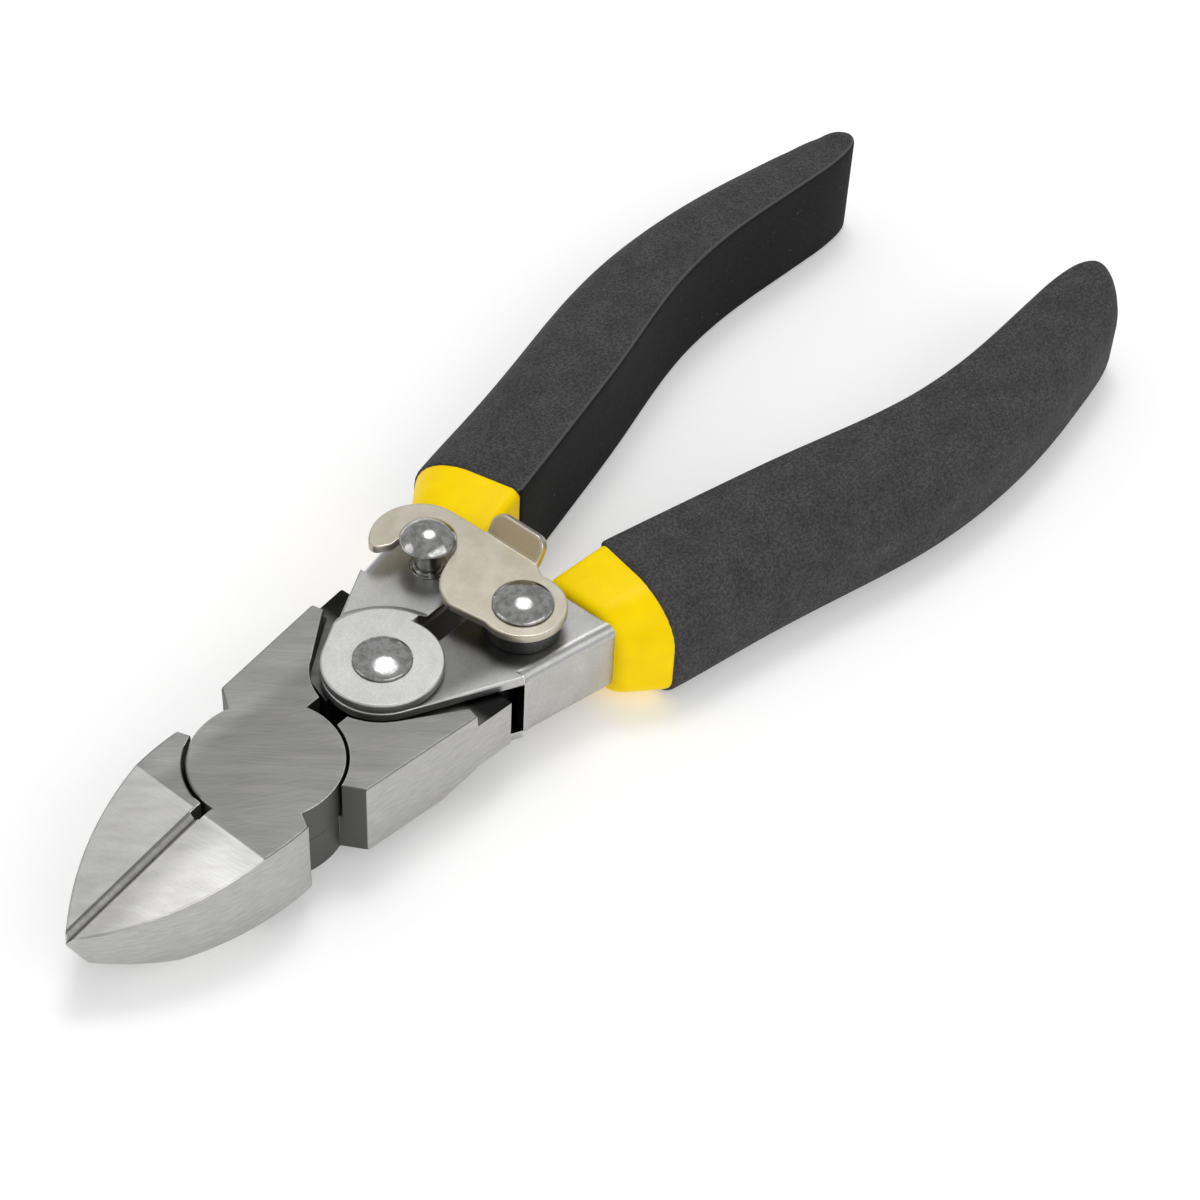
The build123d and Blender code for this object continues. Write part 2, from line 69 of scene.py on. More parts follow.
# The rest is in millimetres.
MID = MID_Z / MM
JAW_X, HANDLE_X = -61.6, -40.0  # the pivots of the jaws and of the handles
BLADE_END_X = -65.9  # the blades are in front of it
BEVEL_END_X = -73.3  # the blades' bevels are in front of it
JAW_FACE = 5.7  # a jaw's ground faces are farther than this from the middle plane
DISC_REACH = 10.75  # the lap joint's disc and the gap round it
TAIL_Y = 12.6  # the tails' outer sides are beyond it
PLATE_INSIDE = 4.7  # the plates' inner faces are nearer than this to the middle plane
BORE_REACH = 4.6
NOTCH_X, NOTCH_Y, NOTCH_TOP = (-74.5, -69.5), 1.3, 13.0  # the notch at the root of the blades
WEB_FRONT_X, WEB_Y = -27.6, 13.0  # the front end of a channel's web
MERGE = 0.002  # corners closer than this are one corner


# ---------------------------------------------------------------- materials


class Shader:
    """One material's node tree, with short calls for the nodes that these finishes use."""

    def __init__(self, name):
        self.material = bpy.data.materials.new(name)
        self.material.use_nodes = True
        self.tree = self.material.node_tree
        self.surface = self.tree.nodes["Principled BSDF"]
        coordinates = self.tree.nodes.new("ShaderNodeTexCoord")
        self.normal = coordinates.outputs["Normal"]
        scaled = self.node("ShaderNodeVectorMath", operation="SCALE")
        self.tree.links.new(coordinates.outputs["Object"], scaled.inputs[0])
        scaled.inputs["Scale"].default_value = 1000.0
        self.place = scaled.outputs[0]

    def node(self, kind, **settings):
        made = self.tree.nodes.new(kind)
        for key, value in settings.items():
            setattr(made, key, value)
        return made

    def feed(self, socket, value):
        if isinstance(value, bpy.types.NodeSocket):
            self.tree.links.new(value, socket)
        elif hasattr(socket.default_value, "__len__") and not hasattr(value, "__len__"):
            socket.default_value = (value, value, value, 1.0)[: len(socket.default_value)]
        elif hasattr(value, "__len__") and len(socket.default_value) == 4 and len(value) == 3:
            socket.default_value = (*value, 1.0)
        else:
            socket.default_value = value

    def math(self, operation, *values, clamp=False):
        made = self.node("ShaderNodeMath", operation=operation, use_clamp=clamp)
        for socket, value in zip(made.inputs, values):
            self.feed(socket, value)
        return made.outputs[0]

    def product(self, *values):
        result = values[0]
        for value in values[1:]:
            result = self.math("MULTIPLY", result, value)
        return result

    def size(self, value):
        return self.math("ABSOLUTE", value)

    def from_middle(self, z):
        """Distance from the middle plane."""
        return self.size(self.math("SUBTRACT", z, MID))

    def radius(self, x, y, centre_x):
        """Distance in the plan from a pivot on the X axis."""
        across = self.math("SUBTRACT", x, centre_x)
        return self.math("SQRT", self.math("ADD", self.product(across, across), self.product(y, y)))

    def axes(self, vector):
        made = self.node("ShaderNodeSeparateXYZ")
        self.feed(made.inputs[0], vector)
        return made.outputs

    def ramp(self, value, low, high, to_low=0.0, to_high=1.0):
        """Smooth step from to_low at value low to to_high at value high."""
        made = self.node("ShaderNodeMapRange", interpolation_type="SMOOTHSTEP")
        for socket, x in zip(made.inputs, (value, low, high, to_low, to_high)):
            self.feed(socket, x)
        return made.outputs[0]

    def noise(self, scale, detail=2.0, roughness=0.5, stretch=(1, 1, 1), turn=0.0):
        """Noise over the object. stretch is in waves per millimetre along each axis, turned about Z."""
        made = self.node("ShaderNodeTexNoise")
        mapped = self.node("ShaderNodeMapping", vector_type="TEXTURE")
        self.feed(mapped.inputs["Vector"], self.place)
        mapped.inputs["Rotation"].default_value = (0, 0, math.radians(turn))
        mapped.inputs["Scale"].default_value = [1 / s for s in stretch]
        self.feed(made.inputs["Vector"], mapped.outputs[0])
        made.inputs["Scale"].default_value = scale
        made.inputs["Detail"].default_value = detail
        made.inputs["Roughness"].default_value = roughness
        return made.outputs["Fac"]

    def mix(self, factor, a, b):
        made = self.node("ShaderNodeMix", data_type="RGBA")
        self.feed(made.inputs[0], factor)
        self.feed(made.inputs[6], a)
        self.feed(made.inputs[7], b)
        return made.outputs[2]

    def blend(self, factor, a, b):
        """A number between a and b."""
        made = self.node("ShaderNodeMix", data_type="FLOAT")
        for socket, x in zip(made.inputs[:4], (factor, None, a, b)):
            if x is not None:
                self.feed(socket, x)
        return made.outputs[0]

    def edges(self, radius):
        """1 on edges sharper than the radius, in millimetres, and 0 on flats."""
        rounded = self.node("ShaderNodeBevel", samples=4)
        rounded.inputs["Radius"].default_value = radius * MM
        plain = self.node("ShaderNodeNewGeometry")
        dot = self.node("ShaderNodeVectorMath", operation="DOT_PRODUCT")
        self.feed(dot.inputs[0], rounded.outputs[0])
        self.feed(dot.inputs[1], plain.outputs["Normal"])
        return self.ramp(dot.outputs["Value"], 0.985, 0.86)

    def bump(self, height, distance, strength=1.0, after=None):
        made = self.node("ShaderNodeBump")
        made.inputs["Strength"].default_value = strength
        made.inputs["Distance"].default_value = distance * MM
        self.feed(made.inputs["Height"], height)
        if after is not None:
            self.feed(made.inputs["Normal"], after)
        return made.outputs[0]

    def finish(self, colour, metallic, roughness, normal=None, **constants):
        self.feed(self.surface.inputs["Base Color"], colour)
        self.feed(self.surface.inputs["Metallic"], metallic)
        self.feed(self.surface.inputs["Roughness"], roughness)
        if normal is not None:
            self.feed(self.surface.inputs["Normal"], normal)
        for name, value in constants.items():
            self.surface.inputs[name.replace("_", " ")].default_value = value
        return self.material


def grey(shader, value, tint=(1.0, 1.0, 0.985)):
    """A number made into a near-neutral colour."""
    made = shader.node("ShaderNodeCombineXYZ")
    for socket, share in zip(made.inputs, tint):
        shader.feed(socket, shader.math("MULTIPLY", value, share))
    return made.outputs[0]


def ground_steel():
    """Forged jaws: bright where they are ground, dark where the forging keeps its blackened surface with
    painted shade over it, and near-black painted shade on the tongues at the back.
    """
    s = Shader("ground_steel")
    x, y, z = s.axes(s.place)
    _, ny, nz = s.axes(s.normal)
    flat = s.ramp(s.size(nz), 0.55, 0.75)
    side = s.math("SUBTRACT", 1.0, flat)
    outer_face = s.math("GREATER_THAN", s.from_middle(z), JAW_FACE)
    blade = s.math("LESS_THAN", x, BLADE_END_X)
    bevel = s.ramp(x, BEVEL_END_X + 0.15, BEVEL_END_X - 0.15)
    radius = s.radius(x, y, JAW_X)
    blade_side = s.product(blade, s.math("GREATER_THAN", radius, DISC_REACH))
    tail_side = s.product(s.math("GREATER_THAN", s.size(y), TAIL_Y), s.ramp(s.size(ny), 0.6, 0.8))
    flat_ground = s.product(flat, s.math("MAXIMUM", outer_face, blade_side))
    side_ground = s.product(side, s.math("MAXIMUM", blade_side, tail_side))
    ground = s.math("ADD", flat_ground, side_ground, clamp=True)

    along = s.noise(1.0, 3.0, 0.6, (0.14, 5.0, 1.0), -52.0)
    slanted = s.noise(1.0, 3.0, 0.6, (0.2, 5.5, 1.0), -36.0)
    across_blade = s.noise(1.0, 3.0, 0.6, (7.5, 0.35, 1.0), 8.0)
    patches = s.noise(0.16, 3.0, 0.6)
    level = s.noise(1.0, 2.0, 0.5, (0.5, 0.5, 6.0))
    lines = s.blend(s.ramp(patches, 0.42, 0.6), along, slanted)
    lines = s.blend(bevel, lines, across_blade)
    lines = s.blend(side, lines, level)
    scratch = s.ramp(lines, 0.3, 0.72)
    smears = s.noise(1.0, 3.0, 0.6, (0.09, 0.5, 1.0), -50.0)
    smudge = s.blend(side, s.ramp(smears, 0.3, 0.7), 0.5)
    # Lighter edges: partly wear, partly a painted highlight along the rims.
    edge_mask = s.product(s.edges(0.28), ground, s.ramp(radius, 5.0, 8.0))

    left = s.math("GREATER_THAN", y, 0.0)
    # Tones set for how light falls on each bevel: the right bevel lighter toward its outer edge, a painted
    # highlight; the left blade's land darker, painted shade; both darker toward the root.
    root = s.ramp(x, BEVEL_END_X - 5.0, BEVEL_END_X)
    right_tone = s.ramp(y, -1.5, -6.0, 0.55, 0.8)
    blade_tone = s.blend(s.product(root, 0.3), s.blend(left, right_tone, 0.57), 0.42)
    left_land = s.product(s.ramp(y, 1.15, 0.95), bevel, left)
    blade_tone = s.blend(left_land, blade_tone, 0.17)
    tone = s.blend(bevel, s.blend(s.ramp(y, 6.0, 9.0), 0.21, 0.28), blade_tone)
    tone = s.blend(side, tone, 0.46)
    tone = s.product(tone, s.blend(scratch, 0.91, 1.1), s.blend(smudge, 0.91, 1.09))
    tone = s.blend(edge_mask, tone, 0.72)
    # Unground faces dark: partly the forging's blackened surface, partly painted shade; near-black behind x
    # -35.5, painted shade on the tongues between the channel plates.
    blackened_and_shaded = s.product(s.blend(s.ramp(x, -38.0, -35.5), 0.115, 0.012), s.blend(smudge, 0.75, 1.3))
    tone = s.blend(ground, blackened_and_shaded, tone)
    rough = s.blend(bevel, 0.36, 0.34)
    rough = s.math("ADD", rough, s.blend(scratch, 0.06, -0.05))
    rough = s.blend(edge_mask, rough, 0.26)
    rough = s.blend(ground, 0.5, rough)
    normal = s.bump(lines, 0.01, 0.4)
    grain = s.noise(3.5, 2.0, 0.6)
    normal = s.bump(grain, 0.01, 0.35, normal)
    return s.finish(grey(s, tone, (1.0, 0.995, 0.97)), 1.0, rough, normal)


def stamped_steel(name, dark):
    """Satin stamped sheet with a faint grain along the handle. dark is how much painted shade lies on its
    flat faces, most on their front part, where it stands for the latch's dark reflection.
    """
    s = Shader(name)
    x, y, z = s.axes(s.place)
    nx, ny, nz = s.axes(s.normal)
    grain = s.noise(4.0, 3.0, 0.6)
    lines = s.noise(1.0, 3.0, 0.6, (0.2, 6.0, 6.0), 12.0)
    patches = s.noise(0.22, 3.0, 0.55)
    edge_mask = s.edges(0.35)
    radius = s.radius(x, y, HANDLE_X)
    width = s.size(y)
    flat = s.ramp(s.size(nz), 0.75, 0.97)
    ear = s.ramp(radius, 10.6, 9.0)
    from_back = s.math("SUBTRACT", s.math("ADD", 20.9, s.product(x, 0.206)), width)
    # Painted dark reflection of the latch on the front of the flat top, fading out toward the outer edge.
    reflection_shade = s.product(s.ramp(x, -15.0, -27.0), s.ramp(from_back, 1.0, 5.0), flat, dark)
    tone = s.blend(ear, 0.5, 0.6)
    # Flat faces darker by dark: painted shade.
    tone = s.blend(s.product(flat, dark), tone, s.product(tone, 0.84))
    tone = s.blend(reflection_shade, tone, 0.11)
    inner_face = s.product(s.math("LESS_THAN", s.from_middle(z), PLATE_INSIDE), flat)
    cut_front = s.product(s.ramp(s.size(nx), 0.75, 0.9), s.ramp(width, 10.0, 11.0))
    cut_inner = s.product(s.ramp(s.size(ny), 0.6, 0.8), s.ramp(width, 8.0, 6.0), s.ramp(radius, 8.5, 9.4))
    shaded = s.math("MAXIMUM", inner_face, s.math("MAXIMUM", cut_front, cut_inner))
    tone = s.product(tone, s.blend(s.ramp(grain, 0.3, 0.7), 0.93, 1.07),
                     s.blend(s.ramp(patches, 0.3, 0.7), 0.93, 1.05),
                     s.blend(s.ramp(lines, 0.35, 0.7), 0.97, 1.04))
    # Lighter edges and bends: partly wear, partly a painted highlight.
    tone = s.blend(s.product(edge_mask, 0.8), tone, 0.8)
    tone = s.blend(shaded, tone, 0.05)
    rough = s.blend(ear, 0.36, 0.46)
    rough = s.math("ADD", rough, s.blend(grain, 0.05, -0.05))
    rough = s.blend(edge_mask, rough, 0.24)
    normal = s.bump(grain, 0.012, 0.4)
    normal = s.bump(lines, 0.006, 0.4, normal)
    return s.finish(grey(s, tone), 1.0, rough, normal)


def rivet_steel():
    """Headed and tumbled rivets: bright, with the dents and darker patches that the tumbling leaves."""
    s = Shader("rivet_steel")
    dents = s.noise(0.95, 3.0, 0.6)
    small = s.noise(3.2, 2.0, 0.5)
    patch = s.ramp(dents, 0.38, 0.62)
    tone = s.blend(patch, 0.33, 0.52)
    tone = s.product(tone, s.blend(small, 0.85, 1.1))
    rough = s.blend(patch, 0.19, 0.1)
    normal = s.bump(dents, 0.022, 0.5)
    normal = s.bump(small, 0.006, 0.3, normal)
    return s.finish(grey(s, tone, (1.0, 0.995, 0.985)), 1.0, rough, normal)


def latch_nickel():
    """Satin nickel plate, a little warm, with a painted highlight along its edges."""
    s = Shader("latch_nickel")
    grain = s.noise(4.5, 3.0, 0.6)
    patches = s.noise(0.3, 3.0, 0.6)
    edge_mask = s.edges(0.6)
    colour = s.mix(s.ramp(patches, 0.3, 0.7), (0.47, 0.43, 0.345), (0.55, 0.515, 0.44))
    nx, _, nz = s.axes(s.normal)
    # The tab's front face darker and browner: painted shade.
    tab_face = s.product(s.ramp(nx, -0.35, -0.6), s.ramp(nz, 0.25, 0.4))
    colour = s.mix(tab_face, colour, (0.42, 0.345, 0.22))
    # Painted highlight along the latch's edges.
    colour = s.mix(s.product(edge_mask, 0.75), colour, (0.86, 0.83, 0.76))
    rough = s.math("ADD", 0.38, s.blend(grain, 0.05, -0.05))
    rough = s.blend(edge_mask, rough, 0.2)
    normal = s.bump(grain, 0.012, 0.5)
    normal = s.bump(patches, 0.05, 0.3, normal)
    return s.finish(colour, 1.0, rough, normal)


def dark_steel(name, tone, rough):
    """Blackened steel, scuffed lighter on its edges."""
    s = Shader(name)
    grain = s.noise(3.0, 3.0, 0.6)
    edge_mask = s.edges(0.2)
    value = s.product(s.blend(s.ramp(grain, 0.3, 0.7), 0.7, 1.35), tone)
    value = s.blend(s.product(edge_mask, 0.5), value, 0.35)
    normal = s.bump(grain, 0.02, 0.4)
    return s.finish(grey(s, value), 0.9, s.math("ADD", rough, s.blend(grain, 0.06, -0.06)), normal)


def dipped_vinyl():
    """Glossy yellow vinyl with the slight waviness of a dip and a little dust."""
    s = Shader("collar_vinyl")
    wave = s.noise(0.35, 2.0, 0.5)
    fine = s.noise(6.0, 2.0, 0.5)
    dust = s.ramp(s.noise(2.2, 3.0, 0.7), 0.66, 0.76)
    colour = s.mix(s.ramp(wave, 0.3, 0.7), (0.95, 0.66, 0.0), (1.0, 0.71, 0.0))
    colour = s.mix(s.product(dust, 0.25), colour, (0.8, 0.5, 0.01))
    rough = s.math("ADD", 0.4, s.blend(fine, -0.04, 0.06))
    normal = s.bump(wave, 0.12, 0.3)
    normal = s.bump(fine, 0.006, 0.4, normal)
    # The faint yellow emission is a painted glow that lightens the collars.
    return s.finish(colour, 0.0, rough, normal, Specular_IOR_Level=0.06,
                    Coat_Weight=0.04, Coat_Roughness=0.15,
                    Emission_Color=(1.0, 0.68, 0.0, 1.0), Emission_Strength=0.07)


def soft_grip():
    """Matte black foam: fine open grain, cloudy tone and pale specks of dust."""
    s = Shader("cover_foam")
    grain = s.noise(3.4, 4.0, 0.7)
    clouds = s.noise(0.22, 3.0, 0.6)
    specks = s.ramp(s.noise(1.9, 2.0, 0.6), 0.66, 0.76)
    pores = s.ramp(s.noise(5.0, 2.0, 0.5), 0.34, 0.22)
    _, y, _ = s.axes(s.place)
    _, ny, nz = s.axes(s.normal)
    outward = s.product(ny, s.math("SIGN", y))  # -1 on the side that faces the other grip
    speckle = s.noise(2.4, 2.0, 0.6)
    value = s.blend(s.ramp(clouds, 0.3, 0.7), 0.041, 0.054)
    # Painted shade: the side that faces the other grip is made darker.
    value = s.blend(s.ramp(outward, -0.55, -0.8), value, 0.005)
    value = s.product(value, s.blend(s.ramp(grain, 0.3, 0.7), 0.7, 1.35),
                      s.blend(s.ramp(speckle, 0.32, 0.68), 0.68, 1.4))
    # Painted sheen: a lighter line along the top edge of the side that faces the other grip.
    painted_edge_sheen = s.product(s.ramp(outward, -0.2, -0.4), s.ramp(nz, 0.5, 0.68), s.ramp(nz, 0.93, 0.82))
    value = s.blend(s.product(painted_edge_sheen, 0.7), value, 0.11)
    value = s.blend(s.product(specks, 0.3), value, 0.16)
    value = s.blend(s.product(pores, 0.6), value, 0.008)
    rough = s.blend(grain, 0.78, 0.92)
    normal = s.bump(grain, 0.16, 0.6)
    normal = s.bump(s.noise(1.1, 2.0, 0.5), 0.12, 0.35, normal)
    return s.finish(grey(s, value, (1.0, 0.99, 1.0)), 0.0, rough, normal, Specular_IOR_Level=0.3)


LOOK = {
    "ground_steel": ground_steel(),
    # The two channel plates share one finish and differ only in how much painted shade lies on them.
    "left_stamped": stamped_steel("left_stamped", 0.15),
    "right_stamped": stamped_steel("right_stamped", 0.85),
    "rivet_steel": rivet_steel(),
    "latch_nickel": latch_nickel(),
    "dark_steel": dark_steel("dark_steel", 0.07, 0.38),
    "spring_steel": dark_steel("spring_steel", 0.12, 0.3),
    "collar_vinyl": dipped_vinyl(),
    "cover_foam": soft_grip(),
}


# ---------------------------------------------------------------- metal pieces


def body_of(node):
    return nodes[node]["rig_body"]


def add_piece(name, mesh, node, look):
    """Shows a finished mesh in place of a CAD node, on that node's body."""
    piece = bpy.data.objects.new(name, mesh)
    scene.collection.objects.link(piece)
    mesh.materials.clear()
    mesh.materials.append(LOOK[look])
    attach(piece, body_of(node))
    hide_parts(node)
    return piece


def hard_edges(b, sharp, chosen):
    """Edges sharper than sharp, in degrees, whose middle, in millimetres, is chosen."""
    limit = math.radians(sharp)
    hard = [e for e in b.edges if len(e.link_faces) == 2 and e.calc_face_angle(0.0) > limit]
    return [e for e in hard if chosen((e.verts[0].co + e.verts[1].co) / (2 * MM))]


def round_edges(b, edges, radius, segments):
    bmesh.ops.bevel(b, geom=edges, offset=radius * MM, offset_type="OFFSET", segments=segments, profile=0.5,
                    affect="EDGES", clamp_overlap=False, loop_slide=True, harden_normals=False)


def eased(node, radii, name, look, sharp=32.0):
    """The node's own shape with its sharp edges rounded over, as deburring and wear leave them."""
    b = bmesh.new()
    b.from_mesh(nodes[node].data)
    bmesh.ops.remove_doubles(b, verts=b.verts, dist=MERGE * MM)
    bmesh.ops.dissolve_limit(b, angle_limit=math.radians(0.6), verts=b.verts, edges=b.edges)
    for radius, chosen in radii:
        round_edges(b, hard_edges(b, sharp, chosen), radius, 3)
    bmesh.ops.remove_doubles(b, verts=b.verts, dist=MERGE * MM)
    for f in b.faces:
        f.smooth = True
    mesh = bpy.data.meshes.new(name)
    b.to_mesh(mesh)
    b.free()
    mesh.set_sharp_from_angle(angle=math.radians(sharp))
    piece = add_piece(name, mesh, node, look)
    weighted = piece.modifiers.new("weighted", "WEIGHTED_NORMAL")
    weighted.keep_sharp = True
    return piece


def jaw_outer(p):
    """The jaws' outer edges, which wear rounder than the edges of the lap joint."""
    return abs(p.y) > 10.5 or (p.x < BLADE_END_X - 0.5 and abs(p.y) > 2.0)


def jaw_fine(p):
    """The jaws' other edges, without the bore's and those deep inside the notch at the blade's root."""
    in_bore = math.hypot(p.x - JAW_X, p.y) < BORE_REACH
    in_notch = abs(p.y) < NOTCH_Y and NOTCH_X[0] < p.x < NOTCH_X[1] and p.z < NOTCH_TOP
    return not in_bore and not in_notch and not jaw_outer(p)


def channel_main(p):
    """All of a channel's edges but those of the web's front end, which are close together."""
    return p.x > WEB_FRONT_X or abs(p.y) < WEB_Y


def one(radius):
    """The same radius on every edge."""
    return ((radius, lambda p: True),)


JAW_RADII = ((0.32, jaw_outer), (0.12, jaw_fine))
EASED = (
    # node, edge radii in mm, slot, look
    ("right_jaw", JAW_RADII, "ground_steel", "ground_steel"),
    ("left_jaw", JAW_RADII, "ground_steel", "ground_steel"),
    ("left_handle_channel", ((0.3, channel_main),), "stamped_steel", "left_stamped"),
    ("right_handle_channel", ((0.3, channel_main),), "stamped_steel", "right_stamped"),
    ("handle_rivet", one(0.18), "rivet_steel", "rivet_steel"),
    ("left_link_rivet", one(0.18), "rivet_steel", "rivet_steel"),
    ("right_link_rivet", one(0.18), "rivet_steel", "rivet_steel"),
    ("latch", one(0.22), "latch_nickel", "latch_nickel"),
    ("latch_spacer", one(0.25), "dark_steel", "dark_steel"),
    ("latch_friction_washer", one(0.07), "dark_steel", "latch_nickel"),
)
for node, radii, slot, look in EASED:
    eased(node, radii, node + "_finished", look)
HIDDEN = {
    "jaw_rivet": "ground_steel",
    "handle_pivot_sleeve": "dark_steel",
    "left_link_washers": "dark_steel",
    "right_link_washers": "dark_steel",
    "opening_spring": "spring_steel",
}
for node, look in HIDDEN.items():
    nodes[node].data.materials.clear()
    nodes[node].data.materials.append(LOOK[look])


# ---------------------------------------------------------------- grips


def plan_outline(node):
    """The node's outer outline at mid height: points in the plan, in millimetres, in order."""
    b = bmesh.new()
    b.from_mesh(nodes[node].data)
    bmesh.ops.remove_doubles(b, verts=b.verts, dist=MERGE * MM)
    everything = b.verts[:] + b.edges[:] + b.faces[:]
    cut = bmesh.ops.bisect_plane(b, geom=everything, plane_co=(0, 0, MID_Z), plane_no=(0, 0, 1))["geom_cut"]
    links = {}
    for e in (part for part in cut if isinstance(part, bmesh.types.BMEdge)):
        for v in e.verts:
            links.setdefault(v, []).append(e.other_vert(v))
    loops = []
    left = dict.fromkeys(links)
    while left:
        here = next(iter(left))
        loop = []
        while here is not None:
            del left[here]
            loop.append(here)
            here = next((v for v in links[here] if v in left), None)
        loops.append(np.array([v.co[:2] for v in loop]) / MM)
    b.free()
    return max(loops, key=lambda c: np.ptp(c[:, 0]))


def open_outline(node, side):
    """The outline from the front outer corner, round the nose, to the front inner corner."""
    loop = plan_outline(node)
    loop = np.roll(loop, -int(np.argmin(loop[:, 0])), axis=0)
    front = loop[:, 0] < loop[:, 0].min() + 6.0
    inner = int(np.argmin(np.where(front, side * loop[:, 1], np.inf)))
    if inner < len(loop) / 2:
        loop = np.vstack([loop[:1], loop[:0:-1]])
        inner = len(loop) - inner
    return loop[: inner + 1]


def spaced(points, stations):
    """The points of a polyline at the given shares of its length."""
    steps = np.hypot(*np.diff(points, axis=0).T)
    along = np.concatenate([[0], np.cumsum(steps)])
    return np.column_stack([np.interp(stations * along[-1], along, points[:, k]) for k in (0, 1)]), along[-1]


NOSE_FROM, NOSE_TO = 78.5, 88.0  # x where the nose's curve leaves the outer side and reaches the inner side
NOSE_Y = 25.2  # the tip of the nose
NOSE_PULLS = (11.0, 6.2, 3.7, 6.0)  # at the outer side, before the tip, after it, and at the inner side


def curve(start, start_pull, end, end_pull, count=40):
    """A cubic between two points that leaves and arrives along the given pulls."""
    a, d = np.array(start), np.array(end)
    b, c = a + np.array(start_pull), d - np.array(end_pull)
    u = np.linspace(0, 1, count)[:, None]
    return a * (1 - u) ** 3 + 3 * b * u * (1 - u) ** 2 + 3 * c * u**2 * (1 - u) + d * u**3


def with_round_nose(points, side):
    """The open outline with one smooth curve for its end."""
    tip_at = int(np.argmax(points[:, 0]))
    outer = points[:tip_at][points[:tip_at, 0] < NOSE_FROM]
    inner = points[tip_at:][points[tip_at:, 0] < NOSE_TO]
    tip = (points[tip_at, 0], side * NOSE_Y)
    slope = (outer[-1] - outer[-4]) / np.hypot(*(outer[-1] - outer[-4]))
    from_outer, to_tip, from_tip, to_inner = NOSE_PULLS
    first = curve(outer[-1], slope * from_outer, tip, (0.0, -side * to_tip))
    second = curve(tip, (0.0, -side * from_tip), inner[0], (-to_inner, -side * 0.1))
    return np.vstack([outer[:-1], first, second[1:], inner[1:]])


GRIP_TOP = 17.6
BACK_ROUND = (8.6, 7.7)  # across and up, in mm, on the side that the palm holds
NOSE_ROUND = (5.6, 7.2)
UNDER_SHARE = 0.55  # the rounds under the grip, as a share of those above
INNER_ROUND = (1.0, 0.9)  # the crisp moulded edge that faces the other grip
TO_NOSE_ROUND = (-13, -3)  # where one round turns into the next, along the outline from the nose's tip
TO_INNER_ROUND = (-6, 2.5)
HOLLOW = 0.55  # depth of the dish in the inner side
HOLLOW_STARTS = (14, 34)  # along the outline from the nose's tip
HOLLOW_ENDS = (1.0, 12.0)  # along the outline from the front end
LIP = ((0.0, 0.5), (0.16, 0.15), (0.5, 0.0))  # distance behind the front end, and how far it is rounded in
LIP_END = 1.2
SMOOTHING = (1, 2, 3, 2, 1)
COLUMNS = 300
ARC_ROWS = 9
WALL_ROWS = 8


def smooth_step(x, low, high):
    u = np.clip((x - low) / (high - low), 0, 1)
    return u * u * (3 - 2 * u)


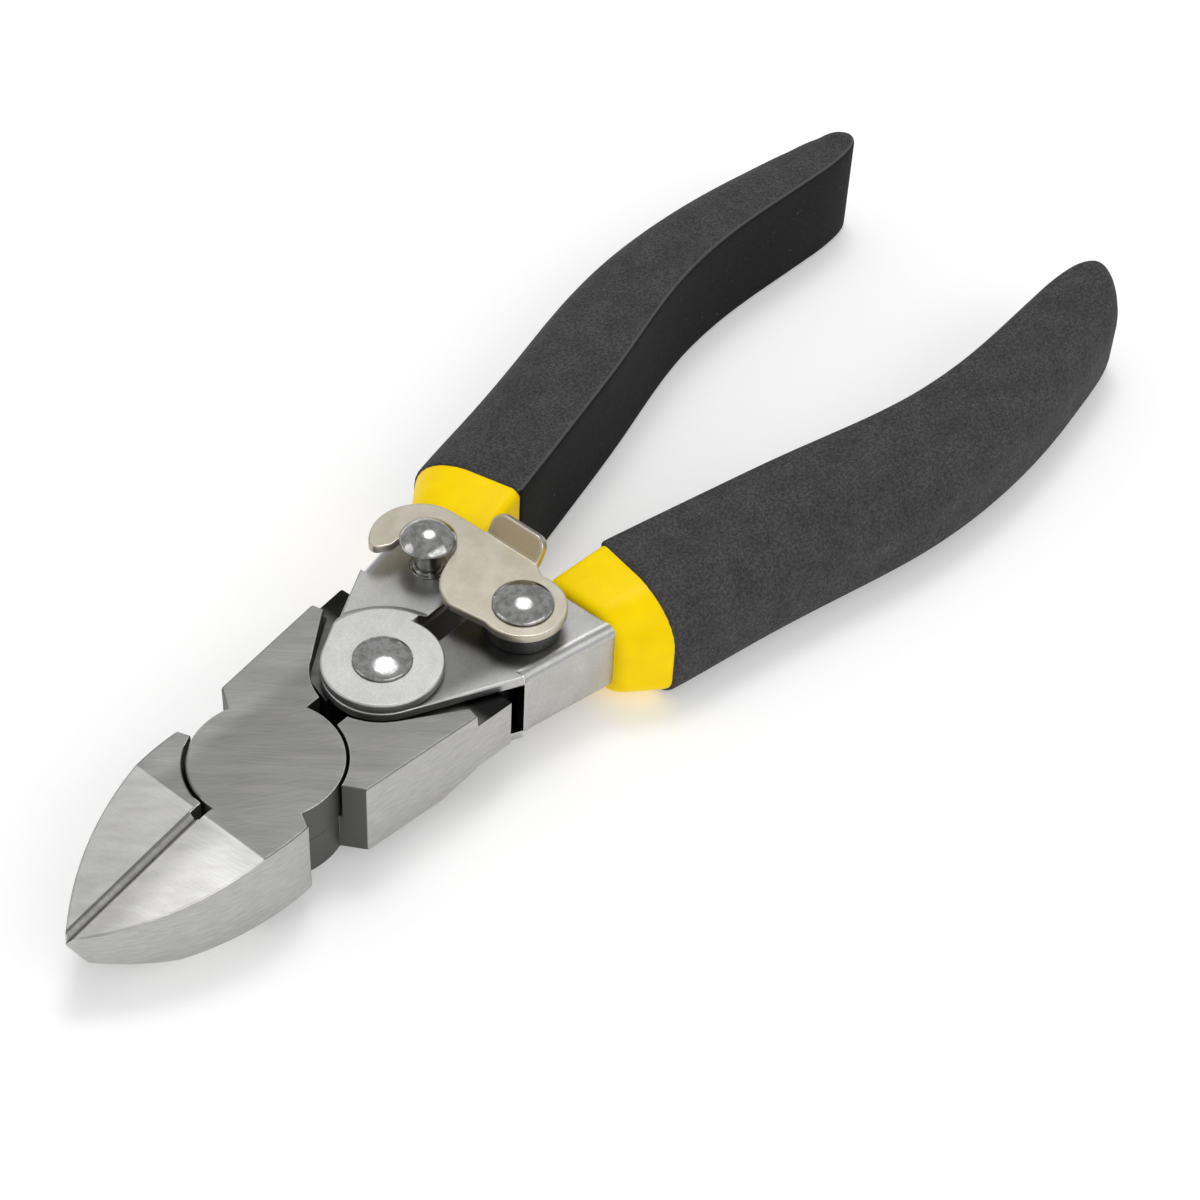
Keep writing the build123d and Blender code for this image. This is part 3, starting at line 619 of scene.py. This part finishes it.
def soft_cover(node, side, name):
    """A moulded cover: round at the back, a crisp edge and a slight hollow inside, a round nose."""
    outline = with_round_nose(open_outline(node, side), side)
    total = spaced(outline, np.array([0.0]))[1]
    lip = np.array([d for d, inset in LIP])
    main = np.linspace(LIP_END, total - LIP_END, COLUMNS)
    stations = np.concatenate([lip, main, total - lip[::-1]]) / total
    p, total = spaced(outline, stations)
    kernel = np.array(SMOOTHING) / sum(SMOOTHING)
    fair = np.column_stack([np.convolve(np.pad(p[:, k], 2, mode="edge"), kernel, "valid") for k in (0, 1)])
    p[6:-6] = fair[6:-6]
    tangent = np.gradient(p, stations * total, axis=0)
    tangent /= np.hypot(*tangent.T)[:, None]
    normal = side * np.column_stack([tangent[:, 1], -tangent[:, 0]])
    nose_at = stations[int(np.argmax(p[:, 0]))] * total
    s = stations * total - nose_at
    rounds = []
    for axis in (0, 1):
        r = BACK_ROUND[axis] + (NOSE_ROUND[axis] - BACK_ROUND[axis]) * smooth_step(s, *TO_NOSE_ROUND)
        rounds.append(r + (INNER_ROUND[axis] - r) * smooth_step(s, *TO_INNER_ROUND))
    across, rise = rounds
    hollow = HOLLOW * smooth_step(s, *HOLLOW_STARTS) * smooth_step(total - stations * total, *HOLLOW_ENDS)
    inset = np.zeros(len(p))
    inset[: len(LIP)] = [i for d, i in LIP]
    inset[-len(LIP):] = [i for d, i in LIP[::-1]]

    rows = []
    arc = np.linspace(0, math.pi / 2, ARC_ROWS)
    under = np.maximum(rise * UNDER_SHARE, np.minimum(rise, INNER_ROUND[1]))
    under_across = np.maximum(across * UNDER_SHARE, np.minimum(across, INNER_ROUND[0]))
    for a in arc[::-1]:
        rows.append((under_across * (1 - math.cos(a)), under * (1 - math.sin(a))))
    for u in np.linspace(0, 1, WALL_ROWS)[1:-1]:
        rows.append((hollow * 4 * u * (1 - u), under + (GRIP_TOP - rise - under) * u))
    for a in arc:
        rows.append((across * (1 - math.cos(a)), GRIP_TOP - rise * (1 - math.sin(a))))
    count = len(p)
    grid = []
    for depth, height in rows:
        plan = p + normal * (depth + inset)[:, None]
        grid += [(x, y, z) for (x, y), z in zip(plan, np.clip(height, inset, GRIP_TOP - inset))]
    faces = []
    for r in range(len(rows) - 1):
        faces += [(r * count + i, r * count + i + 1, (r + 1) * count + i + 1, (r + 1) * count + i)
                  for i in range(count - 1)]
        faces.append((r * count + count - 1, r * count, (r + 1) * count, (r + 1) * count + count - 1))
    for r in (0, len(rows) - 1):
        base = r * count
        for i in range(count // 2 - 1):
            quad = (base + i, base + i + 1, base + count - 2 - i, base + count - 1 - i)
            faces.append(quad if r else quad[::-1])
    b = bmesh.new()
    made = [b.verts.new(Vector(v) * MM) for v in grid]
    for face in faces:
        b.faces.new([made[i] for i in face])
    bmesh.ops.remove_doubles(b, verts=b.verts, dist=1e-6)
    bmesh.ops.recalc_face_normals(b, faces=b.faces)
    for f in b.faces:
        f.smooth = True
    mesh = bpy.data.meshes.new(name)
    b.to_mesh(mesh)
    b.free()
    add_piece(name, mesh, node, "cover_foam")


COLLAR_FRONT = (5.7, 19.4, 7.0)  # inner y, outer y and half height of the collar's front end
COLLAR_LIP = ((0.0, 0.75), (0.1, 0.42), (0.3, 0.18), (0.6, 0.04), (0.85, 0.0))
UNDER_COVER = 0.3  # how far the collar stands inside the cover's front end
BEHIND_FRONT = 0.2  # how far its rear end is behind the cover's front end
COLLAR_SHARES = (0.3, 0.45, 0.6, 0.75, 0.9, 1.0)  # its rings behind the lip
FLARE_POWER = 0.9
COLLAR_BACK = ((5.4, 2.9), (5.0, 2.3))  # its large corner, across and up: at the front, and the gain
COLLAR_INSIDE = (1.3, 1.3)
SLEEVE_X = (4.0, 20.0, 36.0, 52.0, 68.0)  # rings of the sleeve that the cover hides
SLEEVE_BACK = (2.6, 2.6)
SLEEVE_INSET = (3.3, 2.0)  # inside the cover's outer side and inner side
CORNER_POINTS = 10
LEAST_CORNER = 0.2


def collar_ring(outer, inner, half, back, inside, inset):
    """A closed section of the grip between two plan points: large corners at its back, small ones inside."""
    outer, inner = np.array(outer), np.array(inner)
    toward = (inner - outer) / np.hypot(*(inner - outer))
    width = np.hypot(*(inner - outer))
    points = []
    under = (back[0] * UNDER_SHARE, back[1] * UNDER_SHARE)
    corners = ((0.0, 1, back, 180), (width, 1, inside, 90), (width, -1, inside, 0), (0.0, -1, under, -90))
    for d, up, (across, rise), start in corners:
        across, rise = max(across - inset, LEAST_CORNER), max(rise - inset, LEAST_CORNER)
        centre = abs(d - inset - across) if d else inset + across
        for k in range(CORNER_POINTS):
            a = math.radians(start - 90 * k / (CORNER_POINTS - 1))
            reach = centre + across * math.cos(a)
            plan = outer + toward * reach
            points.append((*plan, MID + up * (half - inset - rise) + rise * math.sin(a)))
    return points


def collar(node, cover, side, name):
    """The dipped liner: a flared collar with a rolled lip, and the sleeve that the cover hides."""
    outline = open_outline(cover, side)
    low, high = (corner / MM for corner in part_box(node))
    front_outer = np.array([low.x, side * COLLAR_FRONT[1]])
    front_inner = np.array([low.x, side * COLLAR_FRONT[0]])
    rear_outer, rear_inner = outline[0], outline[-1]
    toward = (rear_inner - rear_outer) / np.hypot(*(rear_inner - rear_outer))
    rear_outer = rear_outer + toward * UNDER_COVER + (BEHIND_FRONT, 0)
    rear_inner = rear_inner - toward * UNDER_COVER + (BEHIND_FRONT, 0)
    rear_half = MID - UNDER_COVER
    length = rear_outer[0] - low.x
    rings = []
    for u, inset in [(d / length, inset) for d, inset in COLLAR_LIP] + [(u, 0.0) for u in COLLAR_SHARES]:
        flare = u**FLARE_POWER
        rings.append(collar_ring(
            front_outer + (rear_outer - front_outer) * (u, flare),
            front_inner + (rear_inner - front_inner) * (u, flare),
            COLLAR_FRONT[2] + (rear_half - COLLAR_FRONT[2]) * flare,
            [front + gain * u for front, gain in COLLAR_BACK], COLLAR_INSIDE, inset))
    tip_at = int(np.argmax(outline[:, 0]))
    outer_side, inner_side = outline[:tip_at], outline[:tip_at:-1]
    for x in (*SLEEVE_X, high.x):
        outer_y = np.interp(x, outer_side[:, 0], outer_side[:, 1]) - side * SLEEVE_INSET[0]
        inner_y = np.interp(x, inner_side[:, 0], inner_side[:, 1]) + side * SLEEVE_INSET[1]
        rings.append(collar_ring(
            (x, outer_y), (x, inner_y), COLLAR_FRONT[2], SLEEVE_BACK, COLLAR_INSIDE, 0.0))
    b = bmesh.new()
    count = len(rings[0])
    made = [[b.verts.new(Vector(v) * MM) for v in ring] for ring in rings]
    for here, ahead in zip(made, made[1:]):
        for i in range(count):
            j = (i + 1) % count
            b.faces.new((here[i], here[j], ahead[j], ahead[i]))
    b.faces.new(made[0][::-1])
    b.faces.new(made[-1])
    bmesh.ops.recalc_face_normals(b, faces=b.faces)
    for f in b.faces:
        f.smooth = len(f.verts) == 4
    mesh = bpy.data.meshes.new(name)
    b.to_mesh(mesh)
    b.free()
    add_piece(name, mesh, node, "collar_vinyl")


for side, hand in ((1, "left"), (-1, "right")):
    collar(hand + "_grip_liner", hand + "_grip_cover", side, hand + "_collar_dipped")
    soft_cover(hand + "_grip_cover", side, hand + "_cover_moulded")


# ---------------------------------------------------------------- studio


def studio_floor(half, grey_level, glow):
    mesh = bpy.data.meshes.new("floor")
    corners = [(-half, -half, 0), (half, -half, 0), (half, half, 0), (-half, half, 0)]
    mesh.from_pydata(corners, [], [(0, 1, 2, 3)])
    floor = bpy.data.objects.new("floor", mesh)
    scene.collection.objects.link(floor)
    s = Shader("paper")
    s.finish([grey_level] * 3, 0.0, 0.9, Emission_Color=(1, 1, 1, 1), Emission_Strength=glow)
    mesh.materials.append(s.material)


def softbox(name, direction, distance, size, radiance):
    """A round or oblong lamp that faces the origin."""
    light = bpy.data.lights.new(name, "AREA")
    light.shape = "ELLIPSE" if size[0] == size[1] else "RECTANGLE"
    light.size, light.size_y = size
    light.energy = radiance * math.pi * size[0] * size[1]
    lamp = bpy.data.objects.new(name, light)
    toward = Vector(direction).normalized()
    lamp.location = toward * distance
    lamp.rotation_mode = "QUATERNION"
    lamp.rotation_quaternion = toward.to_track_quat("Z", "Y")
    scene.collection.objects.link(lamp)


def studio_world(radiance):
    world = bpy.data.worlds.new("studio")
    scene.world = world
    world.use_nodes = True
    world.node_tree.nodes["Background"].inputs["Color"].default_value = (radiance, radiance, radiance, 1)


def camera(location, azimuth, elevation, roll, lens):
    """Looks along the azimuth and elevation, in degrees, turned about its own axis by roll."""
    data = bpy.data.cameras.new("camera")
    data.sensor_width = 36.0
    data.lens = lens
    data.clip_start, data.clip_end = 0.02, 20.0
    made = bpy.data.objects.new("camera", data)
    scene.collection.objects.link(made)
    a, e, r = (math.radians(v) for v in (azimuth, elevation, roll))
    back = Vector((math.sin(a) * math.cos(e), -math.cos(a) * math.cos(e), math.sin(e)))
    level = Vector((math.cos(a), math.sin(a), 0.0))
    up = back.cross(level)
    right = level * math.cos(r) + up * math.sin(r)
    placed = Matrix((right, back.cross(right), back)).transposed().to_4x4()
    placed.translation = Vector(location)
    made.matrix_world = placed
    scene.camera = made


scene.view_settings.view_transform = "Standard"
studio_floor(half=3.0, grey_level=0.88, glow=0.24)
studio_world(radiance=0.5)
# name, direction, distance, width and height, radiance
softbox("overhead", (0.26, 0.20, 0.94), 1.0, (0.55, 0.55), 1.7)
softbox("key", (0.26, 0.20, 0.94), 0.95, (0.26, 0.26), 6.2)
softbox("right_fill", (-0.1, -0.8, 0.6), 1.2, (1.4, 0.7), 1.2)
softbox("left_fill", (-0.8, 0.6, 0.5), 1.2, (0.7, 0.7), 0.7)
camera(location=(-0.21765, -0.17349, 0.28059), azimuth=-52.17, elevation=45.45, roll=3.4, lens=82.5)
